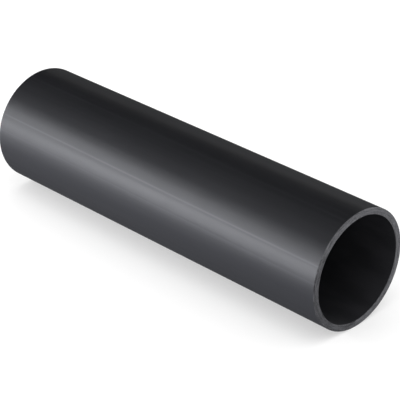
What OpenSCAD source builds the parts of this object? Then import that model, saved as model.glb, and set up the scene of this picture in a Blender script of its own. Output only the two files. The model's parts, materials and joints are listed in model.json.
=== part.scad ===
// Plain-ended soundproof drain pipe: one straight length of thick-walled,
// mineral-filled plastic pipe, sawn square at both ends.
// It lies on its side along X. The origin is the point it rests on, below its middle.

/* [Pipe] */
// Outside diameter, the size that sockets, couplings and clips are made for
outside_d = 110; // [50:1:315]
// Wall thickness, heavy so that the wall damps sound
wall = 6; // [3:0.1:12]
// Length from one sawn end to the other
pipe_length = 400; // [150:10:6000]

/* [Sawn ends] */
// Width of the bevel that deburring leaves on the outer edge
outer_bevel = 0.6; // [0.1:0.1:1.2]
// Width of the bevel that deburring leaves on the inner edge
inner_bevel = 0.4; // [0.1:0.1:1.2]

/* [Hidden] */
$fn = 180;
outer_r = outside_d / 2;
bore_r = outer_r - wall;
end = pipe_length / 2;

// The wall cut along the pipe's axis, at its distance from that axis: x is the radius and
// y runs along the pipe. The four short sides are the bevels of the two sawn ends.
module wall_section()
    polygon([
        [bore_r + inner_bevel, -end],
        [outer_r - outer_bevel, -end],
        [outer_r, outer_bevel - end],
        [outer_r, end - outer_bevel],
        [outer_r - outer_bevel, end],
        [bore_r + inner_bevel, end],
        [bore_r, end - inner_bevel],
        [bore_r, inner_bevel - end]
    ]);

// The section turned round the axis, laid along X and raised until it rests on z = 0.
module pipe()
    color([0.19, 0.19, 0.2])
        translate([0, 0, outer_r])
            rotate([0, 90, 0])
                rotate_extrude()
                    wall_section();

pipe();
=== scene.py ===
"""The looks of a plain-ended soundproof drain pipe: one length of thick-walled black plastic pipe.

Lengths are in metres. The pipe lies along X on the floor, and angles round it are measured from
its top towards -Y. One worked-out surface stands for the pipe, and it has three finishes: the
satin extruded skin, the paler sawn ends and the dull bore.
"""

import json
import math

import bpy
import numpy as np
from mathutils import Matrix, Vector


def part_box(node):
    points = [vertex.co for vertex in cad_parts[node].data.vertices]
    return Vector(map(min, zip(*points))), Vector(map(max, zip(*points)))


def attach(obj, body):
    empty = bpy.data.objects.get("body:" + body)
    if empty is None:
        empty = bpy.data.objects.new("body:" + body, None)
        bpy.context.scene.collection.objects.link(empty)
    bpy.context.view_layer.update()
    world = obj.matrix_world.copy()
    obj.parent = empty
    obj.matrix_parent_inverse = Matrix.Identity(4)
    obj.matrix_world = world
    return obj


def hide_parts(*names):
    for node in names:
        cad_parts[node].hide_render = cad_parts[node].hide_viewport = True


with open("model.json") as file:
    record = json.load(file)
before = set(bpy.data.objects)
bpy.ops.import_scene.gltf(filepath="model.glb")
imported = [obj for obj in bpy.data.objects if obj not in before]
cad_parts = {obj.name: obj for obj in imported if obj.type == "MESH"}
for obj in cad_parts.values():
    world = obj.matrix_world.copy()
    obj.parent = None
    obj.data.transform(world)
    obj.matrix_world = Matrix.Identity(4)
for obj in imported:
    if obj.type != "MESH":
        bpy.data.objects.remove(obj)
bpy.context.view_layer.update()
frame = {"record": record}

MM = 0.001
TURN = 2 * math.pi

# The pipe's own sizes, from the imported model.
PIPE_LOW, PIPE_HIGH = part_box("pipe")
MIDDLE = (PIPE_LOW + PIPE_HIGH) / 2
HALF_LENGTH = (PIPE_HIGH.x - PIPE_LOW.x) / 2
OUTER_RADIUS = (PIPE_HIGH.z - PIPE_LOW.z) / 2
BORE_RADIUS = next(m["dims"]["r_mm"] for m in frame["record"]["mounts"] if m["name"] == "bore") * MM

# How finely the pipe's surface is divided.
TURN_STEPS = 640
SKIN_STATIONS = 40
BORE_STATIONS = 24
FACE_RINGS = 24
BEVEL_STEPS = 4

# Relief of the surface. Every depth is measured into the plastic from the nominal pipe.
OUTER_BEVEL = 0.6 * MM
INNER_BEVEL = 0.4 * MM
BEVEL_UNEVENNESS = 0.3  # the share of a bevel's size that comes and goes round the pipe
SKIN_WAVE = 0.01 * MM
BORE_WAVE = 0.03 * MM
SAW_PITCH = 1.3 * MM
SAW_DEPTH = 0.04 * MM

# Waves round the pipe: how many of them make one turn, for each thing that is uneven.
BEVEL_COUNTS = (2, 5, 9, 23, 41)
SKIN_COUNTS = (2, 3, 7, 11, 19)
BORE_COUNTS = (3, 5, 13, 29)
SLOW_SAW_COUNTS = (1, 2, 5)
QUICK_SAW_COUNTS = (17, 31)
SLOW_SAW_WANDER = 1.5  # how far the saw's marks wander in and out, in pitches
QUICK_SAW_WANDER = 0.4
WAVE_DRIFT = 3.0  # the most that a wave turns between the pipe's middle and an end, in radians
SEED = 110

# The plainest of the die's lines: the angle of each at the pipe's middle and how strong it is. A
# line is a shallow groove whose upper edge is painted pale, partly as a rubbed mark and partly as a
# painted highlight, the bright streak that the groove's gloss shows in the highlight. Angles and
# reaches are in degrees. The pipe turned a little as it left the die, so the lines wind round it by
# WINDING degrees per metre.
DIE_LINES = (
    (64.3, 1.5), (80.2, 0.9), (17.0, 0.2), (118.0, 0.3), (163.0, 0.5),
    (-31.0, 0.3), (-58.0, 0.5), (-97.0, 0.3), (-142.0, 0.6),
)
DIE_LINE_DEPTH = 0.02 * MM
DIE_LINE_REACH = 2.0
RUB_AND_HIGHLIGHT_OFFSET = -0.7
RUB_AND_HIGHLIGHT_REACH = 1.4
WINDING = 8.0

# The three finishes, by their place among the pipe's materials.
SKIN, SAWN, BORE = range(3)


# ---------------------------------------------------------------- shader maths


class Value:
    """The output of a node, used as a number. Each operator adds one Math node."""

    def __init__(self, shader, socket):
        self.shader = shader
        self.socket = socket

    def __add__(self, other):
        return self.shader.maths("ADD", self, other)

    def __sub__(self, other):
        return self.shader.maths("SUBTRACT", self, other)

    def __rsub__(self, other):
        return self.shader.maths("SUBTRACT", other, self)

    def __mul__(self, other):
        return self.shader.maths("MULTIPLY", self, other)

    def __truediv__(self, other):
        return self.shader.maths("DIVIDE", self, other)

    __radd__ = __add__
    __rmul__ = __mul__


class Shader:
    """A material that is being built. Its nodes all come from node()."""

    def __init__(self, name):
        self.material = bpy.data.materials.new(name)
        self.material.use_nodes = True
        self.tree = self.material.node_tree
        self.tree.nodes.clear()

    def node(self, kind, settings=None, sockets=None, output=0):
        """Adds a node, sets its settings, then fills its sockets with numbers or links."""
        added = self.tree.nodes.new("ShaderNode" + kind)
        for name, setting in (settings or {}).items():
            setattr(added, name, setting)
        for name, content in (sockets or {}).items():
            if isinstance(content, Value):
                self.tree.links.new(content.socket, added.inputs[name])
            else:
                added.inputs[name].default_value = content
        return Value(self, added.outputs[output]) if added.outputs else added

    def maths(self, operation, *values):
        return self.node("Math", {"operation": operation}, dict(enumerate(values)))

    def from_axis(self, feature=(1, 1, 1)):
        """The place, measured from the middle of the pipe's axis in units of a feature's size."""
        place = self.node("TexCoord", output="Object")
        centred = {"Vector": place, "Location": MIDDLE, "Scale": feature}
        return self.node("Mapping", {"vector_type": "TEXTURE"}, centred)

    def split(self, vector):
        """The X, Y and Z of a vector as three values."""
        return [self.node("SeparateXYZ", None, {0: vector}, output=axis) for axis in "XYZ"]

    def noise(self, feature, detail=2.0, roughness=0.5):
        """Soft noise, mostly from 0.3 to 0.7, whose blobs have the feature's size on X, Y and Z."""
        return self.noise_at(self.from_axis(feature), detail, roughness)

    def noise_at(self, vector, detail, roughness):
        sockets = {"Vector": vector, "Scale": 1.0, "Detail": detail, "Roughness": roughness}
        return self.node("TexNoise", None, sockets)

    def turned_noise(self, length, width, detail=2.0, roughness=0.5):
        """Soft noise drawn out round the axis, in streaks of that length and width across the wall.

        The direction from the axis, scaled, gives two of the noise's coordinates, and the radius
        gives the third. The place along the pipe is added to it, so the two ends differ.
        """
        x, y, z = self.split(self.from_axis())
        radius = self.maths("SQRT", y * y + z * z)
        reach = OUTER_RADIUS / length
        place = {"X": (x + radius) / width, "Y": reach * y / radius, "Z": reach * z / radius}
        return self.noise_at(self.node("CombineXYZ", None, place), detail, roughness)

    def angle(self):
        """The angle round the axis in degrees, from the top towards -Y."""
        _, y, z = self.split(self.from_axis())
        return self.maths("ARCTAN2", 0 - y, z) * math.degrees(1)

    def along(self):
        """The place along the pipe in metres, from its middle towards +X."""
        return self.split(self.from_axis())[0]

    def hump(self, value, middle, reach):
        """1 at the middle, and a smooth fall to 0 at that reach on both sides."""
        return 1 - self.step(self.maths("ABSOLUTE", value - middle), 0, reach)

    def step(self, value, low, high):
        """0 below low and 1 above high, and a smooth rise between them."""
        sockets = {"Value": value, "From Min": low, "From Max": high}
        return self.node("MapRange", {"interpolation_type": "SMOOTHSTEP"}, sockets)

    def edge_on(self, low=0.55, high=0.95):
        """0 where the surface faces the eye, rising to 1 where it is seen edge on."""
        facing = self.node("LayerWeight", None, {"Blend": 0.5}, output="Facing")
        return self.step(facing, low, high)

    def blend(self, factor, first, second):
        """A colour that is the first where the factor is 0 and the second where it is 1.

        A factor above 1 carries on past the second.
        """
        settings = {"data_type": "RGBA", "clamp_factor": False}
        sockets = {0: factor, 6: (*first, 1), 7: (*second, 1)}
        return self.node("Mix", settings, sockets, output=2)

    def bump(self, height, depth, under=None):
        """Relief that stands depth tall where the height is 1, on top of the bump under it."""
        sockets = {"Height": height, "Distance": depth, "Strength": 1.0}
        return self.node("Bump", None, sockets | ({"Normal": under} if under else {}))

    def finish(self, **sockets):
        """Ends the material in one Principled shader with these sockets."""
        named = {name.replace("_", " "): content for name, content in sockets.items()}
        surface = self.node("BsdfPrincipled", None, named)
        self.node("OutputMaterial", None, {"Surface": surface})
        return self.material


# ------------------------------------------------------------------- materials

SKIN_DARK = (0.0075, 0.0079, 0.0098)
SKIN_PALE = (0.0180, 0.0185, 0.0215)
SAWN_DARK = (0.011, 0.011, 0.013)
SAWN_PALE = (0.117, 0.117, 0.125)
BORE_DARK = (0.0160, 0.0161, 0.0184)
BORE_PALE = (0.0220, 0.0221, 0.0250)
COOL_SHEEN = (0.925, 0.937, 1.0, 1.0)

SKIN_ROUGHNESS = 0.385
SKIN_EDGE_ROUGHNESS = 0.35  # what is added to it where the skin is seen edge on
SKIN_GLOSS = 0.7
SKIN_MOTTLE = 0.25  # how far the skin's mottling goes from its dark colour to its pale one
RUB_AND_HIGHLIGHT_PALENESS = 1.2  # how far a line's pale rub and painted highlight goes, for each 1 of its strength
SAWN_ROUGHNESS = 0.66
BORE_ROUGHNESS = 0.68
BORE_GLOSS = 0.15

# Painted shade: the sawn face is painted darker on one side, towards the lower -Y side. The first
# of these three numbers is that side's middle, as an angle round the pipe, and the other two are
# how far from it the painted shade starts to fade and is gone.
PAINTED_SHADE_SIDE = 120.0
PAINTED_SHADE_REACH = 58.0
PAINTED_SHADE_FADE_REACH = 74.0


def extruded_skin():
    """Satin skin: lengthwise waves and lines from the die, and a grain as fine as the filler."""
    shader = Shader("extruded_skin")
    waves = shader.noise((1.2, 5 * MM, 5 * MM), detail=1.0)
    lines = shader.noise((0.7, 1.6 * MM, 1.6 * MM), detail=3.0)
    clouds = shader.noise((90 * MM, 9 * MM, 9 * MM), detail=2.0)
    grain = shader.noise((0.7 * MM, 0.5 * MM, 0.5 * MM), detail=3.0, roughness=0.6)
    unwound = shader.angle() - WINDING * shader.along()
    # Painted highlight: the pale lines along the die's grooves are partly rubbed marks and partly
    # the bright streaks that the grooves' gloss shows in the highlight.
    rubs_and_highlights = sum(
        strength * shader.hump(unwound, line + RUB_AND_HIGHLIGHT_OFFSET, RUB_AND_HIGHLIGHT_REACH)
        for line, strength in DIE_LINES
    )
    mottle = shader.step(0.6 * lines + 0.4 * clouds, 0.35, 0.65)
    roughness = SKIN_ROUGHNESS + 0.07 * lines + 0.04 * waves + 0.02 * clouds + 0.02 * grain
    relief = shader.bump(waves, 0.06 * MM)
    relief = shader.bump(lines, 0.025 * MM, relief)
    relief = shader.bump(grain, 0.02 * MM, relief)
    paleness = SKIN_MOTTLE * mottle + RUB_AND_HIGHLIGHT_PALENESS * rubs_and_highlights
    return shader.finish(
        Base_Color=shader.blend(paleness, SKIN_DARK, SKIN_PALE),
        Roughness=roughness + SKIN_EDGE_ROUGHNESS * shader.edge_on(),
        Specular_IOR_Level=SKIN_GLOSS,
        Specular_Tint=COOL_SHEEN,
        Normal=relief,
    )


def sawn_end():
    """Matt sawn plastic: grey, with pale filler specks and marks that run round, and painted shade
    on one side.
    """
    shader = Shader("sawn_end")
    specks = shader.noise((1.1 * MM, 1.1 * MM, 1.1 * MM), detail=3.0, roughness=0.7)
    marks = shader.turned_noise(11 * MM, 1.3 * MM, detail=3.0, roughness=0.65)
    from_painted_shade = shader.maths("ABSOLUTE", shader.angle() - PAINTED_SHADE_SIDE)
    painted_lit_side = shader.step(from_painted_shade, PAINTED_SHADE_REACH, PAINTED_SHADE_FADE_REACH)
    relief = shader.bump(marks, 0.12 * MM)
    relief = shader.bump(specks, 0.10 * MM, relief)
    mottle = shader.step(0.45 * specks + 0.55 * marks, 0.37, 0.63)
    return shader.finish(
        # Painted shade: the face is darker round its lower -Y side and paler away from it.
        Base_Color=shader.blend(0.72 * mottle + 0.28 * painted_lit_side, SAWN_DARK, SAWN_PALE),
        Roughness=SAWN_ROUGHNESS + 0.2 * specks,
        Specular_Tint=COOL_SHEEN,
        Normal=relief,
    )


def dull_bore():
    """The inside skin, duller than the outside, with broader lengthwise lines."""
    shader = Shader("dull_bore")
    lines = shader.noise((0.5, 2.2 * MM, 2.2 * MM), detail=3.0)
    clouds = shader.noise((45 * MM, 14 * MM, 14 * MM), detail=2.0)
    grain = shader.noise((0.8 * MM, 0.6 * MM, 0.6 * MM), detail=3.0, roughness=0.6)
    relief = shader.bump(lines, 0.03 * MM)
    relief = shader.bump(grain, 0.04 * MM, relief)
    return shader.finish(
        Base_Color=shader.blend(shader.step(clouds, 0.3, 0.7), BORE_DARK, BORE_PALE),
        Roughness=BORE_ROUGHNESS + 0.08 * clouds + 0.05 * lines,
        Specular_IOR_Level=BORE_GLOSS,
        Specular_Tint=COOL_SHEEN,
        Normal=relief,
    )


# -------------------------------------------------------------------- the pipe


def bevel(corner_radius, size, inwards):
    """A quarter of a circle between a straight side and the +X face, as rows of an outline.

    Each row is its corner's place and radius, then its offset from the corner along and across.
    inwards is 1 where the face lies nearer to the axis than the side, as outside, and -1 in the
    bore.
    """
    turn = np.linspace(0, math.pi / 2, BEVEL_STEPS)
    corner = np.full((BEVEL_STEPS, 2), (HALF_LENGTH, corner_radius))
    along = size * (np.sin(turn) - 1)
    across = inwards * size * (np.cos(turn) - 1)
    return np.column_stack([corner, along, across])


def straight(places, radii):
    """Rows of an outline with no offsets."""
    places, radii = np.broadcast_arrays(places, radii)
    return np.column_stack([places, radii, np.zeros((len(places), 2))])


def wall_profile():
    """The closed outline of the wall on one side of the axis, and the finish of each of its rows.

    It runs along the skin to +X, across the sawn face, back through the bore and across the
    other sawn face. Stations crowd towards the ends, by a sine, so that the bevels stay crisp.
    """
    skin_x = np.sin(np.linspace(-1, 1, SKIN_STATIONS) * math.pi / 2) * (HALF_LENGTH - OUTER_BEVEL)
    bore_x = np.sin(np.linspace(1, -1, BORE_STATIONS) * math.pi / 2) * (HALF_LENGTH - INNER_BEVEL)
    face_r = np.linspace(OUTER_RADIUS - OUTER_BEVEL, BORE_RADIUS + INNER_BEVEL, FACE_RINGS)
    end = np.concatenate([
        bevel(OUTER_RADIUS, OUTER_BEVEL, 1)[1:-1],
        straight(HALF_LENGTH, face_r),
        bevel(BORE_RADIUS, INNER_BEVEL, -1)[-2:0:-1],
    ])
    other_end = end[::-1] * (-1, 1, -1, 1)
    skin, bore = straight(skin_x, OUTER_RADIUS), straight(bore_x, BORE_RADIUS)
    lengths = [len(skin), len(end), len(bore), len(other_end)]
    finishes = np.repeat([SKIN, SAWN, BORE, SAWN], lengths)
    return np.concatenate([skin, end, bore, other_end]), finishes


def waves_round(random, angle, along, counts):
    """Waves round the pipe that drift slowly along it: a sum of cosines, scaled to 0..1."""
    total = np.zeros(np.broadcast(angle, along).shape)
    for count in counts:
        phase = random.uniform(0, TURN)
        drift = random.uniform(-WAVE_DRIFT, WAVE_DRIFT)
        total += np.cos(count * angle + phase + drift * along / HALF_LENGTH) / len(counts)
    return (total + 1) / 2


def die_lines(angle, along):
    """The depth of the die's grooves: each is a full cosine wave across, deepest at its angle."""
    line, strength = np.array(DIE_LINES).T
    unwound = np.degrees(angle) - WINDING * along
    from_line = np.abs((unwound[..., None] - line + 180) % 360 - 180)
    across = np.minimum(from_line / DIE_LINE_REACH, 1)
    return DIE_LINE_DEPTH * (strength * (1 + np.cos(across * math.pi)) / 2).sum(axis=-1)


def saw_marks(random, angle, radius):
    """Grooves that a saw leaves as it is carried round the pipe, from 0 to 1 deep.

    They are waves across the wall whose crests wander in and out as they go round.
    """
    slow = SLOW_SAW_WANDER * waves_round(random, angle, 0, SLOW_SAW_COUNTS)
    quick = QUICK_SAW_WANDER * waves_round(random, angle, 0, QUICK_SAW_COUNTS)
    wander = slow + quick
    return (1 + np.sin(TURN * (radius / SAW_PITCH + wander))) / 2


def make_pipe():
    """The wall's outline turned round the axis, with its relief cut into it, as one closed mesh.

    A point at angle a and radius r lies at y = -r sin a and z = r cos a from the axis. A strip of
    faces between rows of two finishes lies on a bevel, so it is sawn.
    """
    random = np.random.default_rng(SEED)
    rows, finishes = wall_profile()
    corner_x, corner_r, offset_x, offset_r = (column[:, None] for column in rows.T)
    angle = np.arange(TURN_STEPS)[None, :] * TURN / TURN_STEPS
    evenness = 1 - BEVEL_UNEVENNESS * waves_round(random, angle, corner_x, BEVEL_COUNTS)
    x = corner_x + offset_x * evenness
    r = corner_r + offset_r * evenness
    skin, sawn, bore = ((finishes == finish)[:, None] for finish in (SKIN, SAWN, BORE))
    skin_depth = SKIN_WAVE * waves_round(random, angle, x, SKIN_COUNTS) + die_lines(angle, x)
    r -= np.where(skin, skin_depth, 0)
    r += np.where(bore, BORE_WAVE * waves_round(random, angle, x, BORE_COUNTS), 0)
    flat = sawn & (offset_r == 0)
    x -= np.where(flat, np.sign(x) * SAW_DEPTH * saw_marks(random, angle, r), 0)
    y, z = -r * np.sin(angle), r * np.cos(angle)
    points = np.stack([x, y, z], axis=2) + np.array(MIDDLE)
    strip_finishes = np.where(finishes == np.roll(finishes, -1), finishes, SAWN)
    materials = (extruded_skin(), sawn_end(), dull_bore())
    return grid_mesh("drain_pipe", points, strip_finishes, materials)


def grid_mesh(name, points, strip_finishes, materials):
    """A closed grid of points, wrapped both ways, as a smooth mesh.

    strip_finishes says which material the faces between each row and the next one have.
    """
    rows, columns, _ = points.shape
    row = np.arange(rows)[:, None]
    column = np.arange(columns)[None, :]
    next_row, next_column = (row + 1) % rows, (column + 1) % columns
    corners = (
        row * columns + column,
        row * columns + next_column,
        next_row * columns + next_column,
        next_row * columns + column,
    )
    faces = np.stack(corners, axis=2).reshape(-1, 4)
    mesh = bpy.data.meshes.new(name)
    mesh.from_pydata(points.reshape(-1, 3).tolist(), [], faces.tolist())
    mesh.polygons.foreach_set("material_index", np.repeat(strip_finishes, columns))
    mesh.polygons.foreach_set("use_smooth", np.ones(len(faces), bool))
    for material in materials:
        mesh.materials.append(material)
    mesh.update()
    made = bpy.data.objects.new(name, mesh)
    bpy.context.scene.collection.objects.link(made)
    return made


# ------------------------------------------------------------- camera and light

CAMERA_AZIMUTH = 45.15
CAMERA_ELEVATION = 28.0
CAMERA_DISTANCE = 1.566
CAMERA_LENS = 157.75
CAMERA_SIGHT = 100.0
AIM = MIDDLE + Vector((0.0147, 0, -0.0043))

STRIP_DISTANCE = 1.3
STRIP_LENGTH = 1.5

FLOOR_HALF = 15.0
FLOOR_WHITE = (0.6, 0.6, 0.6, 1.0)
FLOOR_ROUGHNESS = 0.9
FLOOR_GLOW = 0.4
WORLD_GLOW = 1.0

# The cards on the floor: their colour, and how far each one reaches from the line under the axis.
CARD_WHITE = (0.90, 0.918, 1.0, 1.0)
CARD_REACH = 8.0
INNER_CARD_REACH = 0.11
NEAR_CARD_REACH = 0.06
BACK_CARD_REACH = 0.8


def direction(azimuth, elevation):
    """The way to something seen at that azimuth, 0 at -Y and 90 at +X, and that elevation."""
    turn, rise = math.radians(azimuth), math.radians(elevation)
    level = math.cos(rise)
    return Vector((math.sin(turn) * level, -math.cos(turn) * level, math.sin(rise)))


def aim(made, place, target):
    """Puts a camera or a light at a place, facing the target."""
    made.location = place
    made.rotation_euler = (target - place).to_track_quat("-Z", "Y").to_euler()
    bpy.context.scene.collection.objects.link(made)
    return made


def make_camera():
    """A long lens that looks down on the pipe from its +X end, on the -Y side."""
    lens = bpy.data.cameras.new("camera")
    lens.lens = CAMERA_LENS
    lens.clip_end = CAMERA_SIGHT
    camera = bpy.data.objects.new("camera", lens)
    place = AIM + CAMERA_DISTANCE * direction(CAMERA_AZIMUTH, CAMERA_ELEVATION)
    bpy.context.scene.camera = aim(camera, place, AIM)


def softbox(name, azimuth, elevation, distance, size, radiance):
    """A square soft light that faces the pipe, as bright all over as radiance says."""
    place = MIDDLE + distance * direction(azimuth, elevation)
    return aim(area_light(name, size, size, radiance), place, MIDDLE)


def strip_light(name, angle, spread, shift, radiance):
    """A soft strip parallel to the pipe and shifted along it.

    angle and spread say where it is and how tall it is, both seen from the pipe's axis.
    """
    turn = math.radians(angle)
    height = 2 * STRIP_DISTANCE * math.tan(math.radians(spread / 2))
    across = STRIP_DISTANCE * Vector((0, -math.sin(turn), math.cos(turn)))
    light = area_light(name, STRIP_LENGTH, height, radiance)
    light.location = MIDDLE + across + Vector((shift, 0, 0))
    light.rotation_euler = (turn, 0, 0)
    bpy.context.scene.collection.objects.link(light)
    return light


def area_light(name, width, height, radiance):
    """A flat light that isn't seen itself. Its power goes with its area."""
    lamp = bpy.data.lights.new(name, "AREA")
    lamp.shape = "RECTANGLE"
    lamp.size = width
    lamp.size_y = height
    lamp.energy = radiance * width * height
    light = bpy.data.objects.new(name, lamp)
    light.visible_camera = False
    return light


def level_sheet(name, low, high, material):
    """A sheet at the height of the floor between two corners. It isn't part of the pipe."""
    (left, front), (right, back) = low, high
    corners = ((left, front), (right, front), (right, back), (left, back))
    mesh = bpy.data.meshes.new(name)
    mesh.from_pydata([(x, y, PIPE_LOW.z) for x, y in corners], [], [(0, 1, 2, 3)])
    mesh.materials.append(material)
    sheet = bpy.data.objects.new(name, mesh)
    bpy.context.scene.collection.objects.link(sheet)
    return sheet


def make_floor():
    """A pale matt floor that glows a little, so that shadows on it stay soft.

    The pipe doesn't mirror it, because the cards give its reflection.
    """
    material = Shader("floor_white").finish(
        Base_Color=FLOOR_WHITE,
        Roughness=FLOOR_ROUGHNESS,
        Specular_IOR_Level=0.0,
        Emission_Color=(1, 1, 1, 1),
        Emission_Strength=FLOOR_GLOW,
    )
    floor = level_sheet("floor", (-FLOOR_HALF, -FLOOR_HALF), (FLOOR_HALF, FLOOR_HALF), material)
    floor.visible_glossy = False


def make_card(name, front, back, radiance):
    """A glowing card on the floor that shows only where the pipe's gloss mirrors it.

    It runs past both ends of the pipe. front and back are where it starts and stops along Y.
    """
    material = Shader(name).finish(
        Base_Color=(0, 0, 0, 1),
        Specular_IOR_Level=0.0,
        Emission_Color=CARD_WHITE,
        Emission_Strength=radiance,
    )
    card = level_sheet(name, (-CARD_REACH, front), (CARD_REACH, back), material)
    card.visible_camera = False
    card.visible_diffuse = False
    card.visible_shadow = False


def make_world():
    """An even white surround that lights matt surfaces and isn't mirrored."""
    world = bpy.data.worlds.new("studio")
    bpy.context.scene.world = world
    world.use_nodes = True
    background = world.node_tree.nodes["Background"]
    background.inputs["Color"].default_value = (1, 1, 1, 1)
    background.inputs["Strength"].default_value = WORLD_GLOW
    world.cycles_visibility.glossy = False


make_camera()
make_world()
make_floor()

# What the lower half of the pipe mirrors in place of the floor.
make_card("front_card", front=-CARD_REACH, back=-INNER_CARD_REACH, radiance=0.81)
make_card("inner_card", front=-INNER_CARD_REACH, back=-NEAR_CARD_REACH, radiance=0.517)
make_card("near_card", front=-NEAR_CARD_REACH, back=0, radiance=0.335)
make_card("back_card", front=0, back=BACK_CARD_REACH, radiance=0.25)

# The front keys give the long highlight on the -Y side, with the weak one between them to fill it.
# The back keys give one like it to a view from behind. The weaker strips and the box lift the top
# and the far side.
strip_light("front_low_key", angle=88, spread=8, shift=-0.87, radiance=66.4)
strip_light("front_mid_key", angle=74, spread=8, shift=-1.0, radiance=8.6)
strip_light("front_high_key", angle=62, spread=6, shift=-1.41, radiance=49.2)
strip_light("top_strip", angle=13, spread=16, shift=-0.87, radiance=1.0)
strip_light("far_strip", angle=-78, spread=9, shift=-1.2, radiance=4.2)
strip_light("back_low_key", angle=-87, spread=6, shift=0.87, radiance=40)
strip_light("back_high_key", angle=-63, spread=6, shift=0.87, radiance=17)
softbox("top_box", azimuth=45, elevation=70, distance=2.2, size=1.2, radiance=5.0)
bpy.context.scene.view_settings.view_transform = "Standard"

pipe = make_pipe()
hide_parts("pipe")
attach(pipe, "root")
